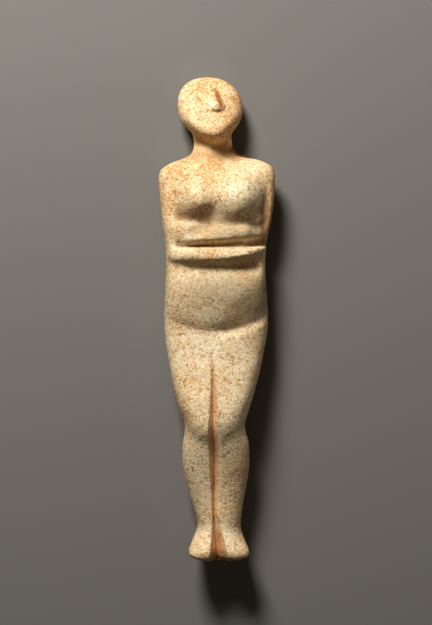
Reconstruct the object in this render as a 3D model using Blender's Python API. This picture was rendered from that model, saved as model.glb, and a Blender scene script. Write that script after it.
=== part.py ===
"""Cycladic marble figurine with folded arms, one solid, lying on its back as it does when loose.

Row frame: +Y runs from the toes to the crown, +X to the figure's left arm, +Z out of its chest.
The origin is under the middle of the figure, on the surface that it lies on.

A point of the figure is given by two shares. Across is its distance from the middle line, where
1 is half the shoulder width, and up is its height above the toes, where 1 is the whole length.
"""

import math

import bmesh
import bpy
import numpy as np

for old in list(bpy.data.objects):
    bpy.data.objects.remove(old)

MM = 0.001

# Driving dimensions
FIGURE_LENGTH = 240 * MM  # toes to crown
SHOULDER_WIDTH = 58 * MM  # over both upper arms
BODY_DEPTH = 30 * MM  # from the seat to the front of the knees
WIDE = SHOULDER_WIDTH / 2 / FIGURE_LENGTH  # turns a share across into a share of the length

# Heights of the raised forms
BREAST_RELIEF = 6.0 * MM
FOREARM_RELIEF = 4.0 * MM
UPPER_ARM_RELIEF = 2.4 * MM
BELLY_RELIEF = 4.0 * MM
THIGH_RELIEF = 2.0 * MM
NOSE_RELIEF = 4.0 * MM
BUTTOCK_RELIEF = 1.8 * MM

# Depths of the cuts
ARMPIT_DEPTH = 2.6 * MM
SPINE_DEPTH = 0.9 * MM
THIGH_HOLLOW_DEPTH = 0.7 * MM
DEEPEST_CUT = 0.5  # of the local thickness, so that the legs stay joined

# Columns run round the figure, and rows from the crown to the toes
FRONT_COLUMNS = 36
BACK_COLUMNS = 20
ROW_BANDS = (  # lowest height of the band, rows in it: many where the carving is fine
    (0.985, 3),
    (0.925, 6),
    (0.850, 11),
    (0.800, 8),
    (0.755, 5),
    (0.715, 5),
    (0.610, 15),
    (0.505, 5),
    (0.465, 7),
    (0.290, 5),
    (0.240, 5),
    (0.080, 4),
    (0.010, 6),
    (0.002, 2),
    (0.000, 1),
)

MARBLE_COLOUR = (0.72, 0.56, 0.36)
MARBLE_ROUGHNESS = 0.6

# Outline from the front: height, then the left and the right edge
OUTLINE = (
    (1.000, -0.15, -0.15),  # crown
    (0.991, -0.47, 0.16),
    (0.978, -0.59, 0.30),
    (0.954, -0.67, 0.42),
    (0.930, -0.67, 0.45),  # widest part of the face
    (0.904, -0.59, 0.39),
    (0.879, -0.41, 0.25),  # jaw meets neck
    (0.860, -0.39, 0.27),
    (0.840, -0.43, 0.34),  # foot of the neck
    (0.830, -0.55, 0.60),
    (0.821, -0.77, 0.86),
    (0.805, -0.96, 0.98),
    (0.788, -1.00, 1.00),  # shoulders
    (0.747, -0.97, 0.98),
    (0.697, -0.93, 0.93),
    (0.672, -0.91, 0.88),
    (0.655, -0.88, 0.85),  # elbows
    (0.615, -0.86, 0.83),  # waist
    (0.557, -0.88, 0.85),
    (0.499, -0.90, 0.88),  # hips
    (0.416, -0.83, 0.78),
    (0.367, -0.76, 0.69),
    (0.317, -0.66, 0.57),
    (0.280, -0.54, 0.47),  # knees
    (0.251, -0.57, 0.54),
    (0.222, -0.61, 0.57),  # calves
    (0.185, -0.57, 0.56),
    (0.144, -0.49, 0.49),
    (0.102, -0.37, 0.43),
    (0.074, -0.32, 0.41),  # ankles
    (0.044, -0.42, 0.48),
    (0.018, -0.49, 0.57),
    (0.006, -0.45, 0.53),
    (0.000, 0.04, 0.04),  # toes
)

# Side view: height, then the back and the front as shares of the body's depth. Where the back
# lies below zero it is worn flat, and the figurine rests on it.
SIDE = (
    (1.000, 0.25, 0.25),  # crown
    (0.985, 0.06, 0.43),
    (0.950, -0.02, 0.55),
    (0.910, -0.02, 0.64),
    (0.880, 0.11, 0.62),
    (0.860, 0.15, 0.61),  # neck
    (0.838, 0.14, 0.63),
    (0.810, 0.11, 0.77),
    (0.780, 0.06, 0.83),
    (0.740, 0.03, 0.87),  # shoulder blades
    (0.690, 0.05, 0.87),
    (0.630, 0.10, 0.88),
    (0.580, 0.11, 0.87),  # small of the back
    (0.530, 0.07, 0.86),
    (0.485, 0.00, 0.84),
    (0.450, -0.03, 0.85),  # seat
    (0.410, 0.04, 0.89),
    (0.350, 0.13, 0.95),
    (0.300, 0.21, 0.99),
    (0.272, 0.24, 1.00),  # knees
    (0.250, 0.20, 0.95),
    (0.200, 0.10, 0.87),
    (0.150, 0.06, 0.79),
    (0.100, 0.04, 0.71),
    (0.075, -0.03, 0.68),  # ankles
    (0.058, -0.15, 0.73),  # heels
    (0.040, 0.07, 0.82),
    (0.015, 0.30, 0.92),
    (0.000, 0.68, 0.68),  # toes
)

# The face leans back on a line of its own: height, depth share
FACE = (
    (0.940, 0.58),
    (0.905, 0.71),
    (0.880, 0.79),
    (0.850, 0.84),
)

# The gap between the legs: height, middle and half width, then the depth of the cut at the
# front and at the back as shares of the body's depth
LEG_GAP = (
    (0.430, -0.05, 0.02, 0.00, 0.05),
    (0.372, -0.05, 0.04, 0.05, 0.09),
    (0.330, -0.05, 0.08, 0.15, 0.10),
    (0.290, -0.04, 0.11, 0.25, 0.10),
    (0.226, -0.02, 0.12, 0.24, 0.13),
    (0.145, -0.01, 0.10, 0.19, 0.12),
    (0.080, 0.00, 0.07, 0.13, 0.09),
    (0.045, 0.02, 0.09, 0.22, 0.07),
    (0.010, 0.04, 0.14, 0.30, 0.12),
)


def smooth(t):
    """0 below 0, 1 above 1, and an even S between."""
    t = np.clip(t, 0.0, 1.0)
    return t * t * (3.0 - 2.0 * t)


def through(stations, column, up):
    """A smooth curve through one column of a table of stations, with no overshoot."""
    points = sorted((row[0], row[column]) for row in stations)
    xs, ys = np.array(points).T
    slopes = np.diff(ys) / np.diff(xs)
    same_way = slopes[:-1] * slopes[1:] > 0
    both = np.where(same_way, slopes[:-1] + slopes[1:], 1.0)
    tangents = np.zeros_like(ys)
    tangents[1:-1] = np.where(same_way, 2.0 * slopes[:-1] * slopes[1:] / both, 0.0)
    tangents[0], tangents[-1] = slopes[0], slopes[-1]
    up = np.clip(up, xs[0], xs[-1])
    i = np.clip(np.searchsorted(xs, up) - 1, 0, len(xs) - 2)
    step = xs[i + 1] - xs[i]
    t = (up - xs[i]) / step
    return (
        ys[i] * (1 + 2 * t) * (1 - t) ** 2
        + ys[i + 1] * t * t * (3 - 2 * t)
        + tangents[i] * step * t * (1 - t) ** 2
        - tangents[i + 1] * step * t * t * (1 - t)
    )


def middle_and_half(stations, up):
    """Middle and half size of an outline. The squares are interpolated, which rounds its ends."""
    table = [(h, (low + high) / 2, ((high - low) / 2) ** 2) for h, low, high in stations]
    return through(table, 1, up), np.sqrt(np.maximum(through(table, 2, up), 0.0))


def mound(across, up, middle, reach, fullness, lean=0.0):
    """A swelling, 1 at its middle. Reach is how far it runs left, right, down and up."""
    px, py = (across - middle[0]) * WIDE, up - middle[1]
    x = px * math.cos(lean) + py * math.sin(lean)
    y = py * math.cos(lean) - px * math.sin(lean)
    left, right, down, above = reach
    q = (x / np.where(x < 0, left, right)) ** 2 + (y / np.where(y < 0, down, above)) ** 2
    return np.clip(1.0 - q, 0.0, 1.0) ** fullness


def limb(across, up, joints, softness):
    """A limb over the body, 1 along its crest. A joint is (across, up, thickness below, above).

    Softness is how gently its lower and its upper side slope into the body.
    """
    height = np.zeros(np.broadcast(across, up).shape)
    for (x0, y0, *thick0), (x1, y1, *thick1) in zip(joints, joints[1:]):
        px, py = (across - x0) * WIDE, up - y0
        dx, dy = (x1 - x0) * WIDE, y1 - y0
        t = np.clip((px * dx + py * dy) / (dx * dx + dy * dy), 0.0, 1.0)
        off_x, off_y = px - t * dx, py - t * dy
        below, above = (a + (b - a) * t for a, b in zip(thick0, thick1))
        q = (off_x**2 + off_y**2) / np.where(off_y < 0, below, above) ** 2
        slope = np.where(off_y < 0, softness[0], softness[1])
        height = np.maximum(height, np.clip(1.0 - q, 0.0, 1.0) ** slope)
    return height


def breasts(across, up):
    """Two small breasts that slope out from the collar and fall back steeply below."""
    right = mound(across, up, (-0.35, 0.741), (0.047, 0.043, 0.046, 0.070), 1.3)
    left = mound(across, up, (0.42, 0.738), (0.060, 0.055, 0.040, 0.085), 1.2, math.radians(37))
    chest = mound(across, up, (0.05, 0.752), (0.100, 0.100, 0.060, 0.085), 1.5)
    return BREAST_RELIEF * (right + 0.9 * left + 0.35 * chest)


def forearms(across, up):
    """The folded arms: the right forearm with its hand below, and the left one above it."""
    right = (
        (-0.72, 0.6235, 0.0115, 0.0215),
        (0.20, 0.6245, 0.0110, 0.0205),
        (0.48, 0.6300, 0.0080, 0.0150),
        (0.80, 0.6400, 0.0040, 0.0060),
    )
    left = (
        (0.83, 0.6740, 0.0110, 0.0190),
        (0.10, 0.6685, 0.0110, 0.0240),
        (-0.56, 0.6600, 0.0090, 0.0200),
    )
    below = limb(across, up, right, (0.5, 0.3))
    above = limb(across, up, left, (0.45, 1.0))
    ribs = mound(across, up, (-0.50, 0.676), (0.055, 0.055, 0.035, 0.026), 1.0)
    return FOREARM_RELIEF * np.maximum(below, 0.85 * np.maximum(above, 0.8 * ribs * (up > 0.655)))


def upper_arms(across, up):
    """The upper arms at the sides, which grow out of the shoulders down to the elbows."""
    right_arm = ((-0.97, 0.79, 0.022, 0.022), (-0.84, 0.642, 0.024, 0.024))
    left_arm = ((0.98, 0.79, 0.013, 0.013), (0.94, 0.680, 0.011, 0.011))
    right = limb(across, up, right_arm, (1.2, 1.6))
    left = limb(across, up, left_arm, (0.6, 0.6))
    grown = 0.2 + 0.8 * smooth((0.78 - up) / 0.12)
    return UPPER_ARM_RELIEF * np.maximum(right, left) * grown


def armpits(across, up):
    """The hollows that part each upper arm from the chest, deepest beside the left breast."""
    run = smooth((up - 0.660) / 0.03) * smooth((0.790 - up) / 0.05)
    hollow = 0.0
    for side, share, line in ((-1, 0.3, 0.66), (1, 1.0, 0.84)):
        x = side * across - line
        q = x / np.where(x < 0, 0.40, 0.20 - 0.10 * side)
        hollow = hollow + share * np.clip(1.0 - q * q, 0.0, 1.0) ** 1.5
    return -ARMPIT_DEPTH * hollow * run


def belly(across, up):
    """The belly, rounded over more and more down to its U-shaped crease."""
    above_crease = up - (0.4755 + 0.040 * (across + 0.03) ** 2)
    t = np.clip(above_crease / 0.075, 0.0, 1.0)
    rise = np.sqrt(1.0 - (1.0 - t) ** 2)
    round_side = np.clip(1.0 - (across / 1.3) ** 2, 0.0, 1.0)
    return BELLY_RELIEF * rise * round_side * (1.0 - smooth((above_crease - 0.055) / 0.090))


def thighs(across, up):
    """The thighs end in a low step over each knee."""
    height = 0.0
    for middle, line in ((-0.26, 0.2545), (0.22, 0.2620)):
        off = across - middle
        above_knee = up - (line + 0.38 * off * off)
        leg = np.clip(1.0 - (off / 0.50) ** 2, 0.0, 1.0)
        t = np.clip(above_knee / 0.035, 0.0, 1.0)
        rise = np.sqrt(1.0 - (1.0 - t) ** 2)
        height = np.maximum(height, leg * rise * (1.0 - smooth((above_knee - 0.02) / 0.12)))
    return THIGH_RELIEF * height


def nose(across, up):
    """A wedge that widens and rises from the brow to its tip, with a blunt underside."""
    tip, root = 0.933, 0.978
    down = np.clip((root - up) / (root - tip), 0.0, 1.0)
    half_width = 0.03 + 0.11 * down
    ridge = np.clip(1.0 - np.abs(across + 0.08) / half_width, 0.0, 1.0) ** 0.8
    return NOSE_RELIEF * ridge * down * smooth((up - tip + 0.007) / 0.007)


def leg_gap(across, up, depth_column):
    """How deep the legs are cut apart, with the wide hollow that rounds each one to the cut."""
    middle = through(LEG_GAP, 1, up)
    half_width = through(LEG_GAP, 2, up)
    depth = through(LEG_GAP, depth_column, up) * BODY_DEPTH
    start = smooth((LEG_GAP[0][0] - up) / 0.03)
    cut = np.clip(1.0 - np.abs(across - middle) / (1.05 * half_width), 0.0, 1.0) ** 0.9
    hollow = np.exp(-(((across - middle) / 0.22) ** 2)) * smooth((0.40 - up) / 0.12)
    return depth * cut * start + THIGH_HOLLOW_DEPTH * hollow


def front_relief(across, up):
    """The raised carving of the front, as a height over the plain body."""
    torso = breasts(across, up) + armpits(across, up) + belly(across, up)
    arms = np.maximum(forearms(across, up), upper_arms(across, up))
    raised = np.where(arms > 0, np.maximum(arms, torso), torso)
    return raised + thighs(across, up) + nose(across, up)


def back_relief(across, up):
    """Spine, the edges of the upper arms, and the buttocks."""
    spine_run = smooth((up - 0.49) / 0.03) * smooth((0.82 - up) / 0.04)
    spine = np.exp(-(((across + 0.02) / 0.06) ** 2)) * spine_run
    arm_run = smooth((up - 0.66) / 0.03) * smooth((0.80 - up) / 0.04)
    arms = np.exp(-(((np.abs(across) - 0.72) / 0.06) ** 2)) * arm_run
    right = mound(across, up, (-0.38, 0.455), (0.053, 0.043, 0.035, 0.08), 1.5)
    left = mound(across, up, (0.34, 0.455), (0.043, 0.053, 0.035, 0.08), 1.5)
    return BUTTOCK_RELIEF * (right + left) - SPINE_DEPTH * (spine + arms)


def row_heights():
    """The height share of every row, from the crown down."""
    heights, top = [1.0], 1.0
    for low, count in ROW_BANDS:
        heights += [top + (low - top) * (k + 1) / count for k in range(count)]
        top = low
    return heights


def column_angle(i):
    """Angle of a column: half a turn over the front from right to left, and half over the back."""
    if i <= FRONT_COLUMNS:
        return math.pi * i / FRONT_COLUMNS
    return math.pi + math.pi * (i - FRONT_COLUMNS) / BACK_COLUMNS


def surface(up, angle):
    """The point of the figure's skin at a height and an angle round the body."""
    middle, half_width = middle_and_half(OUTLINE, up)
    depth, half_depth = middle_and_half(SIDE, up)
    share = np.cos(angle)
    across = middle + half_width * share
    torso = smooth((0.83 - up) / 0.03) * smooth((up - 0.25) / 0.1)
    squareness = 2.0 + 0.6 * torso + 0.5 * smooth((up - 0.87) / 0.02)
    arch = np.clip(1.0 - np.abs(share) ** squareness, 0.0, 1.0) ** (1.0 / squareness)
    chin_line = 0.850 + 0.20 * (across + 0.07) ** 2
    in_face = smooth((up - chin_line) / 0.028) * (up < FACE[0][0])
    front = depth + half_depth
    front = front + (np.maximum(through(FACE, 1, up), front) - front) * in_face
    z_front = (depth + (front - depth) * arch) * BODY_DEPTH
    z_back = (depth - half_depth * arch) * BODY_DEPTH
    thickness = z_front - z_back
    fade = smooth(arch / 0.75)
    if math.sin(angle) >= 0:
        cut = np.minimum(leg_gap(across, up, 3) * fade, DEEPEST_CUT * thickness)
        z = z_front + front_relief(across, up) * fade - cut
    else:
        cut = np.minimum(leg_gap(across, up, 4) * fade, (0.8 - DEEPEST_CUT) * thickness)
        z = np.maximum(z_back - back_relief(across, up) * fade + cut, 0.0)
    y = up + toe_line(across) * np.clip(1.0 - up / 0.03, 0.0, 1.0)
    return across * SHOULDER_WIDTH / 2, y * FIGURE_LENGTH, z


def toe_line(across):
    """How far the end of the feet rises: a notch between them, and rounded outer corners."""
    off = across - 0.04
    return 0.004 * np.exp(-((off / 0.09) ** 2)) + 0.006 * np.abs(off / 0.5) ** 4


def marble():
    material = bpy.data.materials.new("marble")
    material.use_nodes = True
    shader = material.node_tree.nodes["Principled BSDF"]
    shader.inputs["Base Color"].default_value = (*MARBLE_COLOUR, 1.0)
    shader.inputs["Roughness"].default_value = MARBLE_ROUGHNESS
    shader.inputs["Metallic"].default_value = 0.0
    return material


def carve_figurine():
    """A sphere's rings become the rows of the figure, and its poles the crown and the toes."""
    heights = row_heights()
    rows, columns = len(heights) - 1, FRONT_COLUMNS + BACK_COLUMNS
    bm = bmesh.new()
    bmesh.ops.create_uvsphere(bm, u_segments=columns, v_segments=rows, radius=1.0)
    for vertex in bm.verts:
        row = round(math.acos(max(-1.0, min(1.0, vertex.co.z))) / math.pi * rows)
        turn = math.atan2(-vertex.co.y, vertex.co.x) / (2 * math.pi)
        angle = column_angle(round(turn * columns) % columns)
        vertex.co = [float(v) for v in surface(heights[row], angle)]
    low, high = ([pick(v.co[k] for v in bm.verts) for k in range(3)] for pick in (min, max))
    shift = (-(low[0] + high[0]) / 2, -(low[1] + high[1]) / 2, -low[2])
    bmesh.ops.translate(bm, vec=shift, verts=bm.verts)
    bmesh.ops.recalc_face_normals(bm, faces=bm.faces)
    mesh = bpy.data.meshes.new("figurine")
    bm.to_mesh(mesh)
    bm.free()
    mesh.shade_smooth()
    mesh.materials.append(marble())
    figurine = bpy.data.objects.new("figurine", mesh)
    bpy.context.scene.collection.objects.link(figurine)
    return figurine


carve_figurine()
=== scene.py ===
# %% [markdown]
# # A folded-arm figurine in weathered island marble
#
# The real thing is one block of coarse white marble, rubbed to shape with emery and stained by
# the soil it lay in. There is nothing to assemble. All the work is in two places: a skin with
# enough points to carry soft carving, and a stone that looks like sugar-grained marble close up
# and like warm ivory from afar.

# %% The frame
import math

import bmesh
import bpy
import numpy as np
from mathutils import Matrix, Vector, kdtree, noise
from mathutils.bvhtree import BVHTree


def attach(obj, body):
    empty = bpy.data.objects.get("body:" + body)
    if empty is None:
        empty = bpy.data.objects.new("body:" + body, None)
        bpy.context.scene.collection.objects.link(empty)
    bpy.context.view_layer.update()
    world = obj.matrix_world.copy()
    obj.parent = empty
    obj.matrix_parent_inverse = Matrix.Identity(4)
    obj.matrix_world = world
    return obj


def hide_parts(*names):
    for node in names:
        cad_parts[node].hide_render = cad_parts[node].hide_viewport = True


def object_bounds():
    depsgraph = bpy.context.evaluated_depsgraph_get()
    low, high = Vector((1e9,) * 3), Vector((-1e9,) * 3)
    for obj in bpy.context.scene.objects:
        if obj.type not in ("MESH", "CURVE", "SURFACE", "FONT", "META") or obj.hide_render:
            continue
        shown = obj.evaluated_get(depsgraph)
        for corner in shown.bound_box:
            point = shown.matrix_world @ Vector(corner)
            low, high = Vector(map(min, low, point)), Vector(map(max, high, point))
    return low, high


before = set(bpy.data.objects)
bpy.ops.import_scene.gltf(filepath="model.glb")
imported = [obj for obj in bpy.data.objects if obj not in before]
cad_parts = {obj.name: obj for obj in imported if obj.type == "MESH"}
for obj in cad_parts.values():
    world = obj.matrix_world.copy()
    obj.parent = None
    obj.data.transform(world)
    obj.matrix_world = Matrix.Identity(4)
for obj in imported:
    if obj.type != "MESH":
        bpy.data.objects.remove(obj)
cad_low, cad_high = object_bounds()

MM = 0.001
LENGTH = cad_high.y - cad_low.y
HALF_WIDTH = (cad_high.x - cad_low.x) / 2
WIDE = HALF_WIDTH / LENGTH  # turns a share of the half width into a share of the length
print(f"CAD box {(cad_high - cad_low) / MM} mm")

# %% [markdown]
# ## A skin that can be carved
#
# The solid has about ten thousand triangles, which is right for physics and too coarse for a
# close view. Sculptors in Blender start the same way as here: round the rough form with
# subdivision, then remesh it into even small squares, so that every part of the stone can take
# the same detail. A voxel of 0.6 mm is a little more than one pixel of the picture.

# %% From rough solid to even skin
SKIN_VOXEL = 0.62 * MM
SAME_CORNER = 0.001 * MM  # corners closer than this become one
SAME_FACE = math.radians(60)  # triangles that turn less than this become one face
ROUNDING_LEVELS = 2


def even_skin(node, name):
    """A rounded copy of the node's mesh, remeshed into even squares."""
    bm = bmesh.new()
    bm.from_mesh(node.data)
    bmesh.ops.remove_doubles(bm, verts=bm.verts, dist=SAME_CORNER)
    bmesh.ops.join_triangles(
        bm, faces=bm.faces, angle_face_threshold=SAME_FACE, angle_shape_threshold=SAME_FACE
    )
    rough = bpy.data.meshes.new(name + "_rough")
    bm.to_mesh(rough)
    bm.free()
    piece = bpy.data.objects.new(name, rough)
    bpy.context.scene.collection.objects.link(piece)
    rounding = piece.modifiers.new("rounding", "SUBSURF")
    rounding.levels = rounding.render_levels = ROUNDING_LEVELS
    remesh = piece.modifiers.new("even squares", "REMESH")
    remesh.mode = "VOXEL"
    remesh.voxel_size = SKIN_VOXEL
    remesh.use_smooth_shade = True
    view = bpy.context.evaluated_depsgraph_get()
    piece.data = bpy.data.meshes.new_from_object(piece.evaluated_get(view))
    piece.data.name = name
    piece.modifiers.clear()
    bpy.data.meshes.remove(rough)
    return piece


stone = even_skin(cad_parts["figurine"], "marble_figurine")
print(f"skin: {len(stone.data.vertices)} points, {len(stone.data.polygons)} squares")

# %% [markdown]
# ## Moving the points
#
# From here on, the carving is arithmetic on all the points at once. Each cut or swelling is a
# height along +Z for points that face up, which is how a carver works from the front of a slab.
# Sculpt brushes could do the same by hand, but a brush stroke can't be changed by one number.


# %% Reading and writing the points
def read_points(mesh):
    """Places and normals of all points, as two tables of three columns."""
    places = np.empty(len(mesh.vertices) * 3)
    normals = np.empty(len(mesh.vertices) * 3)
    mesh.vertices.foreach_get("co", places)
    mesh.vertex_normals.foreach_get("vector", normals)
    return places.reshape(-1, 3), normals.reshape(-1, 3)


def write_points(mesh, places):
    """Puts the points at new places."""
    mesh.vertices.foreach_set("co", places.ravel())
    mesh.update()


# %% Softening
VOXEL_ROUNDS = 7  # rounds that take the steps of the squares out of the skin


def evened(mesh, places, rounds):
    """The points moved half way to the middle of their neighbours, again and again."""
    ends = np.empty(len(mesh.edges) * 2, dtype=np.int32)
    mesh.edges.foreach_get("vertices", ends)
    a, b = ends.reshape(-1, 2).T
    count = np.bincount(np.concatenate([a, b]), minlength=len(places))
    for _ in range(rounds):
        total = [
            np.bincount(a, places[b, k], len(places)) + np.bincount(b, places[a, k], len(places))
            for k in range(3)
        ]
        places = 0.5 * places + 0.5 * np.array(total).T / count[:, None]
    return places


write_points(stone.data, evened(stone.data, read_points(stone.data)[0], VOXEL_ROUNDS))
points, normals = read_points(stone.data)
print(f"softened {VOXEL_ROUNDS} times")

# %% [markdown]
# ## Where things are
#
# The carving is placed by two shares, as on the solid: `across` is the distance from the middle
# line, 1 at the shoulders, and `up` is the height above the toes, 1 at the crown. A few small
# curves are enough to describe every edge and stain: an S-shaped step, a span between two ends,
# a bell, a soft round spot and a line through given points.


# %% Small curves
def step(t):
    """0 below 0, 1 above 1, and an even S between."""
    t = np.clip(t, 0.0, 1.0)
    return t * t * (3.0 - 2.0 * t)


def span(value, start, rise, end, fall):
    """1 between a start and an end, with a soft rise after one and a soft fall before the other."""
    return step((value - start) / rise) * step((end - value) / fall)


def bell(off, above, below=None):
    """1 where off is 0, fading over one reach above it and one below."""
    return np.exp(-((off / np.where(off > 0, above, below or above)) ** 2))


# %% Shares and spots
across = points[:, 0] / HALF_WIDTH
up = (points[:, 1] - cad_low.y) / LENGTH
front = step((normals[:, 2] + 0.10) / 0.35)  # 1 where the skin faces up, 0 behind


def spot(centre, reach, lean=0.0):
    """A soft round spot, 1 in its middle. It reaches sideways and upwards, as shares of LENGTH."""
    px, py = (across - centre[0]) * WIDE, up - centre[1]
    x = px * math.cos(lean) + py * math.sin(lean)
    y = py * math.cos(lean) - px * math.sin(lean)
    return np.exp(-((x / reach[0]) ** 2) - (y / reach[1]) ** 2)


def spots(rows):
    """Soft spots added up. A row is a strength, a centre, a reach and, if it leans, a lean."""
    return sum(strength * spot(*where) for strength, *where in rows)


def edge(line):
    """The height of a line over the body, through places given as (across, up)."""
    sides, heights = np.array(line).T
    return np.interp(across, sides, heights)


print(f"front points: {int((front > 0.5).sum())}")

# %% [markdown]
# ## The groove between the legs
#
# On the stone this is one long sawn cut, opened out with a pointed tool. It begins as a scratch
# under the belly, is widest at the knees, closes above the ankles and opens again between the
# feet. The solid has it with soft shoulders. Here the front is first made whole again, as it was
# before the saw, by a curve through four places beside the groove, and then cut with crisp lips.

# %% The front before the saw
GROOVE = (  # height, left lip, right lip, depth in mm, and where between the lips it is deepest
    (0.4225, -0.079, -0.058, 0.6, 0.50),
    (0.3957, -0.082, -0.043, 1.3, 0.40),
    (0.3709, -0.091, -0.012, 1.7, 0.30),
    (0.3233, -0.116, 0.021, 2.8, 0.40),
    (0.2655, -0.148, 0.062, 4.0, 0.45),
    (0.2035, -0.123, 0.080, 4.0, 0.45),
    (0.1622, -0.104, 0.067, 3.6, 0.40),
    (0.1229, -0.085, 0.050, 3.0, 0.35),
    (0.0981, -0.077, 0.020, 2.8, 0.35),
    (0.0651, -0.085, 0.075, 3.6, 0.35),
    (0.0403, -0.100, 0.150, 5.0, 0.40),
    (0.0010, -0.135, 0.210, 7.0, 0.45),
)
BESIDE = (-0.27, -0.19, 0.19, 0.27)  # where the whole front is read, across from the groove
ROWS_READ = np.linspace(0.004, 0.43, 140)  # and at which heights


def groove_at(heights):
    """Lips, depth and deepest place of the groove at the given heights."""
    table = np.array(sorted(GROOVE))
    return [np.interp(heights, table[:, 0], table[:, k]) for k in range(1, 5)]


def front_height(tree, side, height):
    """The height of the front at one place, in metres."""
    start = Vector((side * HALF_WIDTH, cad_low.y + height * LENGTH, 2 * cad_high.z))
    hit = tree.ray_cast(start, Vector((0, 0, -1)))[0]
    return hit.z if hit else 0.0


def whole_front(mesh, off):
    """The front without the groove, as the curve through the four places beside it."""
    tree = BVHTree.FromPolygons([v.co for v in mesh.vertices], [p.vertices for p in mesh.polygons])
    left, right, _, _ = groove_at(ROWS_READ)
    read = [
        [front_height(tree, (a + b) / 2 + beside, row) for beside in BESIDE]
        for row, a, b in zip(ROWS_READ, left, right)
    ]
    whole = 0.0
    for here, column in zip(BESIDE, np.array(read).T):
        share = 1.0
        for other in BESIDE:
            if other != here:
                share = share * (off - other) / (here - other)
        whole = whole + share * np.interp(up, ROWS_READ, column)
    return whole


groove_left, groove_right, groove_depth, groove_deepest = groove_at(up)
from_groove = across - (groove_left + groove_right) / 2
whole = whole_front(stone.data, from_groove)
print(f"front read at {len(ROWS_READ) * len(BESIDE)} places")

# %% The leg groove
GROOVE_TOP = 0.4265
WALL_CURVE = 0.85  # below 1, so the walls are a little hollow
WORN_LIP, WORN_REACH = 0.25, 0.05  # mm of wear on the lips, and how far it reaches from them


def cut_groove():
    """New heights for the points near the groove, and how deep each one lies in it."""
    wide = groove_right - groove_left
    t = (across - groove_left) / wide
    wall = np.minimum(t / groove_deepest, (1.0 - t) / (1.0 - groove_deepest))
    wall = np.clip(wall, 0.0, 1.0) ** WALL_CURVE
    worn = WORN_LIP * np.exp(-np.maximum(np.abs(t - 0.5) - 0.5, 0.0) * wide / WORN_REACH)
    deep = groove_depth * wall + worn * step(groove_depth)
    near = front * step((0.25 - np.abs(from_groove)) / 0.10) * (up < GROOVE_TOP)
    heights = points[:, 2] + near * (whole - deep * MM - points[:, 2])
    return heights, near * wall * step(groove_depth / 1.5)


points[:, 2], cleft = cut_groove()
print(f"groove: {int((cleft > 0.2).sum())} points")

# %% [markdown]
# ## The nose
#
# The nose is all there is of a face: a narrow wedge that starts at the brow and rises to a tip,
# which was knocked off long ago and left a pale flat. Its right side is steeper than its left.
# Again the face is made plain first, by a bent plane fitted to the ring around the nose.

# %% The nose
NOSE_MIDDLE, NOSE_REACH = (-0.043, 0.9535), (0.190, 0.034)
NOSE_TOP, NOSE_BREAK, NOSE_END = 0.9795, 0.9395, 0.9260
NOSE_HEIGHT = 2.4 * MM


def plain_face(px, py, away):
    """Heights of a bent plane through the ring of points around the nose."""
    ring = (away > 1.0) & (away < 1.6) & (front > 0.5)
    terms = np.column_stack([np.ones(len(px)), px, py, px * px, px * py, py * py])
    fitted = np.linalg.lstsq(terms[ring], points[ring, 2], rcond=None)[0]
    return terms @ fitted


def nose_wedge():
    """How high the nose stands over the plain face, as a share of its height."""
    down = np.clip((NOSE_TOP - up) / (NOSE_TOP - NOSE_BREAK), 0.0, 1.0)
    left = -0.120 - 0.065 * down
    ridge = -0.060 + 0.070 * down
    right = ridge + 0.065 + 0.075 * down
    slope_left = step((across - left) / (ridge - left)) ** 0.8
    slope_right = step((right - across) / (right - ridge))
    broken = 1.0 - 0.40 * np.clip((NOSE_BREAK - up) / (NOSE_BREAK - NOSE_END), 0.0, 1.0)
    end = step((up - NOSE_END + 0.0030) / 0.0055)
    return np.minimum(slope_left, slope_right) * down**1.2 * broken * end


px, py = across - NOSE_MIDDLE[0], up - NOSE_MIDDLE[1]
away = np.hypot(px / NOSE_REACH[0], py / NOSE_REACH[1])
blend = front * step((1.35 - away) / 0.35)
nose = nose_wedge()
points[:, 2] += blend * (plain_face(px, py, away) + NOSE_HEIGHT * nose - points[:, 2])
print(f"nose: {int((blend * nose > 0.05).sum())} points")

# %% [markdown]
# ## The cut between the forearms
#
# The folded arms are the sharpest thing on the figure. A thin saw-like cut, made with a sharp
# flake of obsidian, parts the two forearms, and its lower side is a clean ledge. A Boolean could
# cut it, but would tear the even skin. A height on the points fades out softly at both ends.

# %% The forearm cut
UPPER_ARM_EDGE = ((-0.61, 0.6490), (-0.22, 0.6590), (0.24, 0.6615), (0.84, 0.6670))
LOWER_ARM_TOP = 0.6430
CUT_DEPTH = 0.9  # mm
LEDGE_LIP = 0.35  # mm


def forearm_cut():
    """Heights in mm, soft under the upper arm and a ledge on the lower one, and where it gapes."""
    below = (edge(UPPER_ARM_EDGE) - up) * LENGTH / MM
    above = (up - LOWER_ARM_TOP) * LENGTH / MM
    run = span(across, -0.66, 0.08, 0.92, 0.10)
    cut = step(below / 3.0) * step(above / 0.5)
    lip = np.exp(-np.maximum(-above, 0.0) / 1.5) * (above <= 0.2) * step((above + 6.0) / 2.0)
    return run * (LEDGE_LIP * lip - CUT_DEPTH * cut), run * cut


forearm_heights, gap = forearm_cut()
print(f"gap between the forearms: {int((gap > 0.5).sum())} points")

# %% [markdown]
# ## The arms
#
# Each forearm is a low flat bar whose lower edge is a little full. The belly starts low under
# them, the left elbow stops free above the lower forearm, and a narrow dip runs down inside the
# left upper arm's edge. All are soft swellings and hollows of a few millimetres at most, so they
# are sums of bells and spots.

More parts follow.
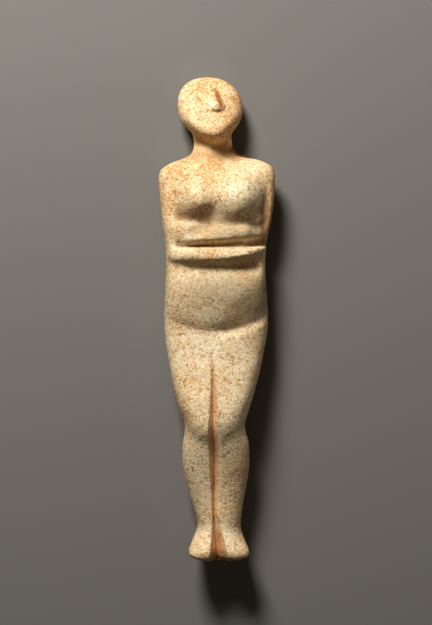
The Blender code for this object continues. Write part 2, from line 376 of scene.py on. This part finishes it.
# %% The arms' edges
LOWER_ARM_EDGE, LOWER_ARM_FULL = 0.6188, 0.5  # heights on the figure, and swellings in mm
UPPER_ARM_FULL = 0.4
UNDER_ARMS, UNDER_DEPTH = 0.6010, 1.0
LEFT_FULL = (0.9, (0.47, 0.6270), (0.035, 0.0065))  # spots: strength in mm, centre, reach
LEFT_UNDER = (1.3, (0.55, 0.603), (0.040, 0.015))
LEFT_ARM_DIP = (2.2, (0.835, 0.715), (0.009, 0.045))
ELBOW_TOP, ELBOW_END, ELBOW_DROP = 0.7010, 0.6440, 3.7


def arm_edges():
    """The lower edges of both forearms stand out, in mm."""
    lower = LOWER_ARM_FULL * bell(up - LOWER_ARM_EDGE, 0.0072)
    lower = lower * span(across, -0.40, 0.15, 0.45, 0.10)
    upper = UPPER_ARM_FULL * bell(up - edge(UPPER_ARM_EDGE) - 0.0010, 0.0055)
    upper = upper * span(across, -0.60, 0.15, 0.35, 0.10)
    return lower + upper + spots([LEFT_FULL])


def arm_hollows():
    """The belly starts low under the arms, and the left arm ends free of the forearm."""
    under = UNDER_DEPTH * bell(up - UNDER_ARMS, 0.010, 0.021) + spots([LEFT_UNDER])
    under = under * span(across, -0.62, 0.2, 0.80, 0.15)
    elbow = ELBOW_DROP * span(up, ELBOW_END, 0.004, ELBOW_TOP, 0.018)
    elbow = elbow * span(across, 0.46, 0.24, 0.92, 0.14)
    return under + elbow + spots([LEFT_ARM_DIP])


arm_heights = arm_edges() - arm_hollows()
print(f"arms: {arm_heights.min():.1f} to {arm_heights.max():.1f} mm")

# %% [markdown]
# ## The belly
#
# The belly rolls over a U-shaped crease, and the thighs start below it. On the left flank it
# turns away sooner, which leaves a broad shaded slope there. The crease is a parabola, and both
# forms follow from how far above it a point lies.

# %% The belly and its crease
CREASE_MIDDLE, CREASE_RISE = 0.4735, 0.040  # its height, and how far its ends rise
CREASE_DEPTH, FLANK_DEPTH = 0.35, 1.8  # mm


def above_crease():
    """Millimetres above the U-shaped crease under the belly."""
    return (up - CREASE_MIDDLE - CREASE_RISE * (across + 0.03) ** 2) * LENGTH / MM


def belly_roll():
    """The belly turns under before the crease, sooner on its left flank. The thighs start level."""
    above = above_crease()
    roll = np.where(above > 0, np.exp(-above / 3.0), np.exp(above / 1.0))
    roll = roll * step((0.95 - np.abs(across)) / 0.3)
    top = 4.0 + 13.0 * step((across + 0.05) / 0.65)
    flank = step((1.25 * top - above) / (1.2 * top)) * step((above + 5.0) / 6.5)
    flank = flank * span(across, -0.20, 0.5, 0.97, 0.15)
    return -CREASE_DEPTH * roll - FLANK_DEPTH * flank


belly_heights = belly_roll()
print(f"belly: {belly_heights.min():.1f} mm at its deepest")

# %% [markdown]
# ## The knees
#
# Each thigh ends in a small step over the knee, no higher than a fingernail is thick. On both
# legs it runs down to the groove and swells at its lip. The step is the sign of the distance to
# a drawn line, rounded at the line and faded out away from it.

# %% The knee steps
KNEE_LINES = (
    ((-0.58, 0.2830), (-0.42, 0.2630), (-0.30, 0.2560), (-0.13, 0.2540)),
    ((0.08, 0.2530), (0.25, 0.2640), (0.40, 0.2730), (0.55, 0.2810)),
)
KNEE_STEP = 0.36  # mm up on one side of the line and down on the other
KNEE_ENDS = (  # strength in mm, centre, reach
    (0.8, (0.07, 0.252), (0.016, 0.016)),
    (0.6, (-0.20, 0.252), (0.022, 0.016)),
)


def knee_steps():
    """The thighs end in a small step, which on both legs runs down to the groove."""
    rise = 0.0
    for line in KNEE_LINES:
        near = (up - edge(line)) * LENGTH / MM
        run = span(across, line[0][0], 0.12, line[-1][0], 0.12)
        far = np.abs(near)
        rise = rise + run * np.sign(near) * (1.0 - np.exp(-far / 1.8)) * np.exp(-far / 5.5)
    return KNEE_STEP * rise + spots(KNEE_ENDS)


knee_heights = knee_steps()
print(f"knees: {knee_heights.min():.1f} to {knee_heights.max():.1f} mm")

# %% [markdown]
# ## Throat and ankles
#
# The head tilts back, so the chin throws a shadow on the neck, deepest on its left. That takes a
# real hollow of some millimetres there. The shins level out over the ankles, where the feet turn
# down.

# %% The throat's hollows and the ankles
THROAT_HOLLOWS = (  # strength in mm, centre, reach
    (6.2, (0.34, 0.831), (0.046, 0.025)),
    (0.9, (0.0, 0.850), (0.040, 0.012)),
    (2.6, (-0.28, 0.863), (0.028, 0.013)),
)
ANKLES, ANKLE_FULL = 0.068, 2.5  # their height, and how much they fill, mm

ankle_heights = ANKLE_FULL * bell(up - ANKLES, 0.055, 0.040)
throat_heights = -spots(THROAT_HOLLOWS)
print(f"throat: {throat_heights.min():.1f} mm, ankles: {ankle_heights.max():.1f} mm")

# %% [markdown]
# ## Cutting it all
#
# Hand rubbing leaves some places rounder than the solid has them: the knees, the crease, the
# left upper arm's edge and the left side of the belly. Those are softened by evening them out
# with their neighbours. The knees and the crease come before the cuts, so that the cuts stay
# crisp, and the other two after them.

# %% Softened places and cuts
KNEES = ((1.0, (-0.30, 0.258), (0.045, 0.018)), (1.0, (0.27, 0.262), (0.045, 0.018)))
KNEE_ROUNDS, CREASE_ROUNDS = 80, 40
SOFT_PLACES = (  # centre, reach, rounds
    ((0.86, 0.725), (0.014, 0.055), 50),
    ((0.22, 0.512), (0.060, 0.026), 90),
)


def softened(where, rounds):
    """The points, evened out where the given share is above 0."""
    return points + (where * front)[:, None] * (evened(stone.data, points, rounds) - points)


from_lip = np.abs(from_groove) - (groove_right - groove_left) / 2
knees = np.minimum(1.3 * spots(KNEES), 1.0) * step((from_lip - 0.02) / 0.08)
points = softened(knees, KNEE_ROUNDS)
points = softened(0.8 * bell(above_crease(), 5.0), CREASE_ROUNDS)
carved = forearm_heights + arm_heights + belly_heights + knee_heights
carved = front * (carved + ankle_heights + throat_heights)
points[:, 2] += carved * MM
for centre, reach, rounds in SOFT_PLACES:
    points = softened(spot(centre, reach), rounds)
print(f"carved: {carved.min():.1f} to {carved.max():.1f} mm")

# %% [markdown]
# ## The hand-rubbed surface
#
# Emery leaves no flat: the surface wanders by a tenth of a millimetre or two. Weather then eats
# single crystals out of it and leaves small pits. Both could be bump alone, but then the outline
# and the raking light would show a machine-made surface, so both move the points.

# %% Unevenness and pits
WANDER = ((9.0, 0.16), (3.2, 0.07), (1.5, 0.035))  # size of a swelling and its height, mm
PIT_COUNT = 320
PIT_RADIUS = (0.5, 0.95)  # mm
PIT_DEPTH = (0.10, 0.30)  # mm
draw = np.random.default_rng(4)


def unevenness(places):
    """How far each point moves along its normal, in mm."""
    rise = np.zeros(len(places))
    for size, height in WANDER:
        spread = places / (size * MM)
        rise += height * np.array([noise.noise(Vector(p)) for p in spread])
    return rise


def pits(places):
    """Small round pits at random points, in mm of depth."""
    tree = kdtree.KDTree(len(places))
    for i, place in enumerate(places):
        tree.insert(place, i)
    tree.balance()
    depth = np.zeros(len(places))
    for centre in draw.integers(0, len(places), PIT_COUNT):
        radius = draw.uniform(*PIT_RADIUS)
        deep = draw.uniform(*PIT_DEPTH)
        for _, i, far in tree.find_range(places[centre], radius * MM):
            depth[i] = max(depth[i], deep * (1.0 - (far / (radius * MM)) ** 2))
    return depth


pit_depth = pits(points)
points += normals * ((unevenness(points) - pit_depth) * MM)[:, None]
points[:, 2] = np.maximum(points[:, 2], 0.0)
write_points(stone.data, points)
stone.data.shade_smooth()
print(f"pits: {int((pit_depth > 0).sum())} points")

# %% [markdown]
# ## Stains, wear, painted shade and a painted highlight on the points
#
# Soil water stains marble where it stands: in grooves, in pits and in broad clouds. What was
# rubbed or broken later is pale. Shade is painted the same way: darker in the hollows, under the
# breast and chin and along the left arm, and one painted highlight on the nose. These areas are
# few and belong to this figure, so they are worked out as one number for each point, which the
# stone's nodes then read. A painted image would need a flat layout of the skin and more points of
# colour than the stone has shapes.

# %% Hollows and ridges
HOLLOW_ROUNDS = 120

points, normals = read_points(stone.data)
evened_points = evened(stone.data, points, HOLLOW_ROUNDS)
sunk = ((evened_points - points) * normals).sum(axis=1) / MM
print(f"hollows: {sunk.max():.2f} mm, ridges: {sunk.min():.2f} mm")

# %% Single iron stains, and painted shadow on the nose
STAIN_AND_SHADE_MARKS = (  # across, up, half length and half width in mm, lean in degrees, strength
    (-0.430, 0.7210, 1.6, 1.0, 20, 0.9),
    (-0.290, 0.7250, 1.8, 0.9, 30, 1.0),
    (-0.200, 0.7300, 1.3, 0.8, 0, 1.0),
    (-0.170, 0.7220, 1.0, 0.7, 0, 0.8),
    (0.585, 0.6343, 2.1, 0.8, 10, 1.0),
    (-0.197, 0.5911, 1.3, 1.1, 0, 1.0),
    (-0.598, 0.4669, 1.9, 0.8, 10, 1.0),
    (0.214, 0.4576, 1.5, 0.6, 35, 1.0),
    (0.444, 0.3114, 1.4, 0.9, 60, 0.9),
    (0.055, 0.3058, 2.6, 0.7, 80, 0.8),
    (-0.067, 0.3990, 6.5, 0.45, 88, 0.8),
    (-0.414, 0.1900, 2.0, 0.7, -76, 1.0),
    (0.214, 0.2093, 3.2, 0.5, -25, 0.9),
    (-0.197, 0.1486, 0.9, 0.7, 0, 1.0),
    (0.145, 0.1312, 0.8, 0.7, 0, 1.0),
    (0.169, 0.8618, 1.2, 0.9, 0, 1.0),
    (-0.077, 0.9690, 1.0, 0.6, -40, 0.9),
    # these two paint the shadow along the nose's side away from the key light
    (0.010, 0.9590, 4.2, 1.7, -70, 1.1),
    (0.060, 0.9440, 2.2, 1.2, -60, 0.9),
    (-0.188, 0.9390, 0.9, 0.7, 0, 0.9),
    (0.120, 0.9290, 1.0, 0.7, 0, 0.9),
)
stain_and_shade = np.zeros(len(points))
for mark_across, mark_up, long, wide, lean, strength in STAIN_AND_SHADE_MARKS:
    reach = (long * MM / LENGTH, wide * MM / LENGTH)
    stain_and_shade += strength * front * spot((mark_across, mark_up), reach, math.radians(lean))
print(f"stains: {len(STAIN_AND_SHADE_MARKS)}")

# %% [markdown]
# Broad places come next, each a sum of soft spots. Patina says where the stone holds more iron
# than its clouds give, or less, and on the nose and under the chin it is also painted shadow.
# Grey lies on the flat of the belly and on the forearms, and on the belly it is also painted
# shade where the belly turns from the light. Specks say where rust flecks crowd.

# %% Broad places
PATINA_AND_SHADE = (  # strength, centre, reach; less than 0 is cleaner stone
    (0.5, (-0.05, 0.930), (0.120, 0.060)),
    # painted shadow along the nose's side away from the key light
    (0.6, (0.04, 0.950), (0.010, 0.018)),
    (0.5, (-0.1, 0.980), (0.09, 0.030)),
    # the neck's tan patina, darker also as painted shadow under the chin
    (1.0, (-0.05, 0.850), (0.06, 0.026)),
    (-0.3, (0.0, 0.765), (0.06, 0.030)),
    (-0.5, (0.50, 0.745), (0.040, 0.030)),
    (-0.5, (0.25, 0.270), (0.035, 0.040)),
    (0.7, (-0.45, 0.79), (0.09, 0.05)),
    (0.1, (0.50, 0.80), (0.06, 0.03)),
    (0.5, (-0.85, 0.70), (0.03, 0.06)),
    (0.6, (0.92, 0.72), (0.012, 0.06)),
    (-0.3, (0.35, 0.31), (0.03, 0.12)),
    (0.1, (-0.65, 0.54), (0.04, 0.06)),
    (0.3, (-0.5, 0.33), (0.04, 0.08)),
    (-0.2, (-0.30, 0.20), (0.05, 0.06)),
    (0.4, (-0.35, 0.03), (0.05, 0.04)),
)
GREY_AND_SHADE = (
    (1.3, (0.0, 0.680), (0.10, 0.014)),
    (0.6, (0.0, 0.638), (0.09, 0.012)),
    # the belly's middle: weathered grey and painted shade
    (1.1, (0.0, 0.555), (0.09, 0.045)),
    # painted shade on the belly's left flank, which turns from the light
    (0.9, (0.70, 0.545), (0.05, 0.055)),
    (0.5, (0.2, 0.20), (0.08, 0.08)),
)
SPECKS = (
    (1.0, (-0.50, 0.567), (0.035, 0.020)),
    (1.0, (-0.66, 0.468), (0.030, 0.030)),
    (1.0, (0.18, 0.435), (0.022, 0.026)),
    (1.0, (0.25, 0.406), (0.030, 0.012)),
    (1.0, (-0.47, 0.371), (0.028, 0.030)),
    (1.0, (-0.45, 0.299), (0.032, 0.028)),
    (1.0, (-0.31, 0.762), (0.025, 0.015)),
    (1.0, (-0.25, 0.715), (0.035, 0.020)),
    (1.0, (-0.66, 0.675), (0.022, 0.030)),
    (0.8, (0.50, 0.775), (0.025, 0.020)),
    (0.8, (-0.23, 0.877), (0.060, 0.014)),
    (0.7, (0.25, 0.235), (0.025, 0.030)),
)
SPECKS_ANYWHERE = 0.08
print(f"broad places: {len(PATINA_AND_SHADE)} of patina, {len(GREY_AND_SHADE)} grey, {len(SPECKS)} of specks")

# %% [markdown]
# Soil and painted shade follow the real hollows, darker the deeper a point lies, and single
# places get more or less of it. The added places are painted shade under the right breast, under
# the chin, along the left upper arm and on the left elbow, and painted shade deepens the groove
# between the feet. The break on the nose is fresh stone, and a pale streak above it is a painted
# highlight on the nose's lit side. The throat, the groove and the cut between the arms have a
# smooth skin with fewer films and flecks.

# %% Soil and painted shade, fresh stone and smooth skin
SHADE_AND_SOIL_PLACES = (  # strength, centre, reach, lean
    # painted shade under the right breast
    (1.2, (-0.34, 0.720), (0.032, 0.017), 0.3),
    # painted shadow of the chin on the neck
    (1.0, (0.22, 0.846), (0.040, 0.014), -0.4),
    (0.7, (-0.25, 0.835), (0.05, 0.018)),
    # painted shade along the left upper arm's edge
    (1.5, (0.88, 0.712), (0.018, 0.042)),
    (0.5, (0.32, 0.205), (0.025, 0.035)),
    (-0.5, (0.0, 0.715), (0.022, 0.030)),
    # painted shade on the left elbow
    (0.8, (0.76, 0.676), (0.026, 0.018)),
    (-1.0, (0.05, 0.606), (0.120, 0.014)),
    (-0.6, (0.0, 0.105), (0.10, 0.050)),
    (-0.6, (0.0, 0.262), (0.045, 0.022)),
)
FRESH_BREAK_AND_HIGHLIGHT = (
    (0.85, (-0.070, 0.9390), (0.0095, 0.0075)),
    # a painted highlight on the nose's lit side
    (0.6, (-0.128, 0.956), (0.005, 0.012)),
)
SMOOTH_PLACES = ((1.0, (-0.05, 0.850), (0.09, 0.022)), (0.5, (0.2, 0.684), (0.06, 0.012)))
# soil and painted shade both start at the first depth of hollow and are full at the second
SOIL_AND_SHADE_FROM, SOIL_AND_SHADE_FULL = 0.12, 1.02  # mm of hollow where soil starts to lie, and where it is full

feet = step((0.075 - up) / 0.03)
soil_and_shade = (sunk - SOIL_AND_SHADE_FROM) / (SOIL_AND_SHADE_FULL - SOIL_AND_SHADE_FROM) + spots(SHADE_AND_SOIL_PLACES)
# painted shade deepens the groove between the feet; the cut between the forearms gets less
soil_and_shade += 0.5 * cleft * feet - 0.2 * gap
smooth_skin = spots(SMOOTH_PLACES) + 0.6 * cleft + 0.8 * gap
print(f"soil on {int((soil_and_shade > 0.5).sum())} points")

# %% [markdown]
# The masks are stored as named values from 0 to 1. Patina can be more or less than ordinary
# stone, so ordinary stone is 0.5 in its mask, and the nodes take that off again.

# %% Masks on the points
ORDINARY = 0.5


def store(name, values):
    """Keeps one number for each point under a name that an Attribute node can read."""
    layer = stone.data.attributes.new(name, "FLOAT", "POINT")
    layer.data.foreach_set("value", np.clip(values, 0.0, 1.0).astype(np.float32))


masks = {
    "cleft": cleft * (1.0 - 0.6 * feet),
    "patina_and_shade": ORDINARY + 0.5 * spots(PATINA_AND_SHADE),
    "grey_and_shade": spots(GREY_AND_SHADE),
    "fresh_and_highlight": front * spots(FRESH_BREAK_AND_HIGHLIGHT),
    "stain_and_shade": stain_and_shade,
    "specks": 0.6 * (SPECKS_ANYWHERE + spots(SPECKS)),
    "smooth_skin": smooth_skin,
    "pits": pit_depth / 0.2,
    "hollow": soil_and_shade,
    "ochre": 0.48 * step(cleft / 0.45) * step((0.085 - up) / 0.04),
}
for name, values in masks.items():
    store(name, values)
print("masks stored:", ", ".join(masks))

# %% [markdown]
# ## The stone
#
# Island marble is almost pure calcite in crystals of about a millimetre, so it glitters like
# sugar. Light sinks in a little way and comes out again, which softens its shadows. Emery and
# weather leave a dull, fine-grained skin. On this piece iron from the soil has crept between the
# crystals and turned them ochre, with rust-brown specks where roots and iron grains sat.


# %% Colours
def linear(hex_colour):
    """An sRGB hex colour as linear red, green, blue and alpha."""
    parts = [int(hex_colour[i : i + 2], 16) / 255 for i in (1, 3, 5)]
    return (*[p / 12.92 if p <= 0.04045 else ((p + 0.055) / 1.055) ** 2.4 for p in parts], 1.0)


IVORY = linear("#F7E4C1")
PALE_CRYSTAL_AND_HIGHLIGHT = linear("#FFF5DF")
DULL_CRYSTAL = linear("#D0BA92")
HONEY = linear("#EBC78F")
OCHRE = linear("#CC8843")
RUST = linear("#A5551F")
ROOT_BROWN_AND_SHADE = linear("#9C5320")
GREY_AND_SHADE_TONE = linear("#BCBCB8")
SOIL_AND_SHADE_BROWN = linear("#94683F")
CLEFT_RED = linear("#DFB28A")
print("ivory, linear:", [round(part, 3) for part in IVORY[:3]])

# %% [markdown]
# Pattern sizes are real ones in millimetres. The stone's crystals of 1 mm are two pixels wide in
# the picture, so they show as they are. The films of iron between them are thinner than a hair,
# and are drawn about as wide as half a crystal, because thinner ones would be too fine to see.

# %% Pattern sizes
CRYSTAL = 1.0 * MM
VEIN = 0.95 * MM
FLECK = 1.1 * MM
FLECK_CLUSTER = 7 * MM
CLOUD = 20 * MM
DARK_GRAIN = 1.7 * MM
print(f"one crystal in {CRYSTAL / MM:.1f} mm, one cloud in {CLOUD / MM:.0f} mm")

# %% Adding a node
marble = bpy.data.materials.new("emery_rubbed_island_marble")
marble.use_nodes = True
nodes, links = marble.node_tree.nodes, marble.node_tree.links


def add(kind, inputs=None, stops=(), **settings):
    """Adds a node. Its inputs are numbers, colours, sockets, or nodes for their first output."""
    node = nodes.new("ShaderNode" + kind)
    for name, value in settings.items():
        setattr(node, name, value)
    for name, value in (inputs or {}).items():
        if isinstance(value, bpy.types.Node):
            value = value.outputs[0]
        if isinstance(value, bpy.types.NodeSocket):
            links.new(value, node.inputs[name])
        else:
            node.inputs[name].default_value = value
    for k, (place, colour) in enumerate(stops):
        ramp = node.color_ramp.elements
        stop = ramp[k] if k < len(ramp) else ramp.new(place)
        stop.position, stop.color = place, colour
    return node


AMOUNT, UNDER, OVER, MIXED = 0, 6, 7, 2  # places of a Mix node's sockets when it mixes colours
mask = {name: add("Attribute", attribute_name=name).outputs["Fac"] for name in masks}
place = add("TexCoord").outputs["Object"]
print(f"{len(mask)} masks read")

# %% [markdown]
# First the clean stone. Its crystals are packed like the cells of a sponge, so they come from a
# cell pattern whose walls are bent a little. Each crystal gets its own lightness. Where the
# stone has weathered to a light grey, the grey multiplies the crystals and doesn't cover them,
# because a covered belly would lose its grain. On the belly the same grey is also painted shade,
# darker where the belly turns away from the key light.

# %% Crystals
GREY_AND_SHADE_STRENGTH = 0.85

bend = add("TexNoise", {"Vector": place, "Scale": 0.8 / CRYSTAL, "Detail": 1.0}).outputs["Color"]
shift = add("VectorMath", {0: bend, 1: (0.5, 0.5, 0.5)}, operation="SUBTRACT")
shift = add("VectorMath", {0: shift, 3: 0.9 * CRYSTAL}, operation="SCALE")
bent = add("VectorMath", {0: place, 1: shift}, operation="ADD")
cells = add("TexVoronoi", {"Vector": bent, "Scale": 1 / CRYSTAL})
lightness = add("SeparateColor", {"Color": cells.outputs["Color"]}).outputs["Red"]
crystals = add(
    "ValToRGB",
    {"Fac": lightness},
    stops=[(0.0, DULL_CRYSTAL), (0.25, IVORY), (0.62, IVORY), (0.75, PALE_CRYSTAL_AND_HIGHLIGHT)],
)
# the grey is weathered stone, and on the belly also painted shade
greyed_and_shaded = add("Math", {0: mask["grey_and_shade"], 1: GREY_AND_SHADE_STRENGTH}, operation="MULTIPLY")
clean = add(
    "Mix",
    {AMOUNT: greyed_and_shaded, UNDER: crystals, OVER: GREY_AND_SHADE_TONE},
    data_type="RGBA",
    blend_type="MULTIPLY",
).outputs[MIXED]
print(f"clean stone: {len(nodes)} nodes")

# %% [markdown]
# Then iron, in three forms: a honey-coloured haze, films that wind between the crystals, and
# rust flecks in clusters. All three are thick where the clouds of one slow pattern are dense,
# and where the patina mask says so. Where that mask holds painted shadow, on the nose and under
# the chin, the haze and films paint it. Each is kept as an amount and a colour, and all of them
# are laid over the clean stone at the end, one after the other.

# %% Haze and films
FEEDING = 0.35  # how much iron nearby adds to the film pattern

clouds = add("TexNoise", {"Vector": place, "Scale": 1 / CLOUD, "Detail": 5.0, "Roughness": 0.62})
more = add("Math", {0: mask["patina_and_shade"], 1: ORDINARY}, operation="SUBTRACT")
iron = add("Math", {0: clouds, 1: more}, operation="ADD")
haze = add("MapRange", {"Value": iron, "From Min": 0.35, "From Max": 1.05, "To Max": 0.75})
patches = add(
    "TexNoise", {"Vector": place, "Scale": 1 / FLECK_CLUSTER, "Detail": 3.0, "Roughness": 0.7}
)
rubbed = add("Math", {0: 1.0, 1: mask["smooth_skin"]}, operation="SUBTRACT")
veins = add("TexNoise", {"Vector": place, "Scale": 1 / VEIN, "Detail": 1.0, "Distortion": 1.2})
feed = add("Math", {0: iron, 1: patches}, operation="ADD")
feed = add("Math", {0: feed, 1: FEEDING}, operation="MULTIPLY")
seep = add("Math", {0: veins, 1: feed}, operation="ADD")
film = add("MapRange", {"Value": seep, "From Min": 0.95, "From Max": 1.07, "To Max": 0.92})
film = add("Math", {0: film, 1: rubbed}, operation="MULTIPLY")
layers = [(haze, HONEY), (film, OCHRE)]
print(f"haze and films: {len(nodes)} nodes")

# %% Rust flecks
CROWDING = 0.30  # how much a crowded place adds to the fleck pattern

flecks = add(
    "TexNoise",
    {"Vector": place, "Scale": 1 / FLECK, "Detail": 2.0, "Roughness": 0.6, "Distortion": 1.5},
)
crowd = add("Math", {0: patches, 1: 0.1}, operation="ADD")
crowd = add("Math", {0: mask["specks"], 1: crowd}, operation="MULTIPLY")
crowd = add("Math", {0: crowd, 1: CROWDING}, operation="MULTIPLY")
fleck = add("Math", {0: flecks, 1: crowd}, operation="ADD")
fleck = add("MapRange", {"Value": fleck, "From Min": 0.70, "From Max": 0.80, "To Max": 0.9})
fleck = add("Math", {0: fleck, 1: rubbed}, operation="MULTIPLY")
layers.append((fleck, RUST))
print(f"flecks: {len(nodes)} nodes")

# %% [markdown]
# Last what came from outside, and the shade and light painted with it: fine dark grains, soil
# and painted shade in the hollows, a reddish tone in the groove with ochre between the feet,
# single stains with painted shadow on the nose, pits, and the pale new face of the broken nose
# with a painted highlight above it. A dark grain sits in one of a few cells, picked by the cell's
# own random green.

# %% Dark grains
grains = add("TexVoronoi", {"Vector": bent, "Scale": 1 / DARK_GRAIN})
picked = add("SeparateColor", {"Color": grains.outputs["Color"]}).outputs["Green"]
picked = add("MapRange", {"Value": picked, "From Min": 0.60, "From Max": 0.80, "To Max": 0.40})
dot = add("MapRange", {"Value": grains.outputs["Distance"], "From Min": 0.26, "From Max": 0.10})
grain = add("Math", {0: dot, 1: picked}, operation="MULTIPLY")
grain_shown = add("Math", {0: grain, 1: rubbed}, operation="MULTIPLY")
layers.append((grain_shown, ROOT_BROWN_AND_SHADE))
print(f"dark grains: {len(nodes)} nodes")

# %% Soil and painted shade, stains and the new break
SOIL_AND_SHADE_STRENGTH, RED_STRENGTH, STAIN_AND_SHADE_STRENGTH, PIT_STRENGTH = 0.65, 0.70, 0.45, 0.5

# soil and painted shade in the hollows and the listed places
soiled_and_shaded = add("Math", {0: mask["hollow"], 1: SOIL_AND_SHADE_STRENGTH}, operation="MULTIPLY")
reddened = add("Math", {0: mask["cleft"], 1: RED_STRENGTH}, operation="MULTIPLY")
layers += [(soiled_and_shaded, SOIL_AND_SHADE_BROWN), (reddened, CLEFT_RED), (mask["ochre"], OCHRE)]
# stains, and painted shadow on the nose
torn = add("Math", {0: mask["stain_and_shade"], 1: STAIN_AND_SHADE_STRENGTH}, operation="MULTIPLY")
torn = add("Math", {0: torn, 1: flecks}, operation="ADD")
torn = add("MapRange", {"Value": torn, "From Min": 0.74, "From Max": 0.90, "To Max": 0.75})
pitted = add("Math", {0: mask["pits"], 1: PIT_STRENGTH}, operation="MULTIPLY")
# the fresh break, and a painted highlight on the nose's lit side
broken = add("Math", {0: mask["fresh_and_highlight"], 1: flecks}, operation="ADD")
broken = add("MapRange", {"Value": broken, "From Min": 1.00, "From Max": 1.20, "To Max": 0.9})
layers += [(torn, ROOT_BROWN_AND_SHADE), (pitted, RUST), (broken, PALE_CRYSTAL_AND_HIGHLIGHT)]
print(f"soil and wear: {len(nodes)} nodes")

# %% Laying them over the clean stone
colour = clean
for amount, over in layers:
    layer = add("Mix", {AMOUNT: amount, UNDER: colour, OVER: over}, data_type="RGBA")
    colour = layer.outputs[MIXED]
print(f"layers of colour: {len(layers)}")

# %% [markdown]
# Emery rounds the crystals' edges and weather opens the walls between them, so each crystal is a
# low dome, and each stands a little higher or lower than the next. They are too many to carve,
# so they are bump. The skin is dull, and light travels about a millimetre inside the stone.

# %% Crystals felt by the light
CRYSTAL_RELIEF = 0.28 * MM
DOME_SHARE, STAND_SHARE, EATEN_SHARE = 0.6, 0.5, 0.8  # of that relief

to_wall = add("TexVoronoi", {"Vector": bent, "Scale": 1 / CRYSTAL}, feature="DISTANCE_TO_EDGE")
dome = add("MapRange", {"Value": to_wall, "From Min": 0.0, "From Max": 0.35})
dome = add("Math", {0: dome, 1: DOME_SHARE}, operation="MULTIPLY")
stands = add("Math", {0: lightness, 1: STAND_SHARE}, operation="MULTIPLY")
relief = add("Math", {0: dome, 1: stands}, operation="ADD")
eaten = add("Math", {0: grain, 1: EATEN_SHARE}, operation="MULTIPLY")
relief = add("Math", {0: relief, 1: eaten}, operation="SUBTRACT")
bump = add("Bump", {"Height": relief, "Strength": 0.65, "Distance": CRYSTAL_RELIEF})
print(f"relief of {CRYSTAL_RELIEF / MM:.2f} mm")

# %% Skin and inside
SKIN = {
    "IOR": 1.5,  # calcite's, between its two
    "Metallic": 0.0,
    "Roughness": 0.55,  # fine emery would give 0.4, and the soil has eaten at it since
    "Subsurface Weight": 0.15,
    "Subsurface Radius": (1.0, 0.8, 0.6),  # red goes furthest
    "Subsurface Scale": 1.0 * MM,
}
shader = nodes["Principled BSDF"]
for name, value in SKIN.items():
    shader.inputs[name].default_value = value
links.new(colour, shader.inputs["Base Color"])
links.new(bump.outputs["Normal"], shader.inputs["Normal"])
stone.data.materials.clear()
stone.data.materials.append(marble)
print(f"{marble.name}: {len(nodes)} nodes")

# %% [markdown]
# ## On its body
#
# The dense skin stands for the solid, which physics keeps.

# %% Riding the frame
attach(stone, "root")
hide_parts("figurine")
print(f"{stone.name} rides root")

# %% [markdown]
# ## Floor, light and camera
#
# The figure lies on its back, because nothing holds it up. The camera looks straight down, which
# gives the view of someone who faces it upright. The key light comes from beyond the head and
# from the figure's right, low enough to draw every ridge. A weak warm light from above and
# another from the figure's left, as from a wall, keep the shadows open.

# %% Floor
FLOOR_SIZE = 6.0

paper = bpy.data.materials.new("pale_studio_paper")
paper.use_nodes = True
sheet = paper.node_tree.nodes["Principled BSDF"]
sheet.inputs["Base Color"].default_value = linear("#8F8E8C")
sheet.inputs["Roughness"].default_value = 0.9
bpy.ops.mesh.primitive_plane_add(size=FLOOR_SIZE)
floor = bpy.context.object
floor.name = "floor"
floor.data.materials.append(paper)
print(f"floor: {FLOOR_SIZE} m")

# %% Light
LIGHT_FAR = 1.0
LIGHTS = (  # name, where it comes from, size in metres, watts, colour
    ("key", (-0.27, 0.80, 0.63), 0.30, 9.2, (1.0, 0.97, 0.92)),
    ("fill", (0.3, -0.2, 1.0), 1.0, 0.25, (1.0, 0.82, 0.62)),
    ("wall", (1.0, 0.0, 0.3), 0.6, 0.5, (1.0, 0.88, 0.74)),
)
ROOM_LIGHT, ROOM_STRENGTH = (1.0, 0.84, 0.66, 1.0), 0.04


def soft_light(name, towards, size, power, colour):
    """A square soft box that shines on the figure from one direction."""
    lamp = bpy.data.lights.new(name, "AREA")
    lamp.size, lamp.energy, lamp.color = size, power, colour
    box = bpy.data.objects.new(name, lamp)
    bpy.context.scene.collection.objects.link(box)
    box.location = Vector(towards).normalized() * LIGHT_FAR
    box.rotation_euler = (-box.location).to_track_quat("-Z", "Y").to_euler()


for light in LIGHTS:
    soft_light(*light)
world = bpy.data.worlds.new("studio")
world.use_nodes = True
world.node_tree.nodes["Background"].inputs["Color"].default_value = ROOM_LIGHT
world.node_tree.nodes["Background"].inputs["Strength"].default_value = ROOM_STRENGTH
bpy.context.scene.world = world
bpy.context.scene.view_settings.view_transform = "Standard"
bpy.context.scene.view_settings.look = "High Contrast"
print("lights:", ", ".join(light[0] for light in LIGHTS))

# %% Camera
LENS = 150  # mm, a long lens keeps the head and the feet in the same scale
SENSOR = 36  # mm
FRAME_HEIGHT = 0.310  # metres of the figure's plane in the picture
FIGURE_PLANE = 10 * MM  # above the floor
AIM = (-0.35 * MM, 2.6 * MM)

camera_data = bpy.data.cameras.new("camera")
camera_data.lens, camera_data.sensor_width = LENS, SENSOR
camera = bpy.data.objects.new("camera", camera_data)
bpy.context.scene.collection.objects.link(camera)
camera.location = (*AIM, FRAME_HEIGHT * LENS / SENSOR + FIGURE_PLANE)
bpy.context.scene.camera = camera
print(f"camera: {camera.location.z:.2f} m above the floor")
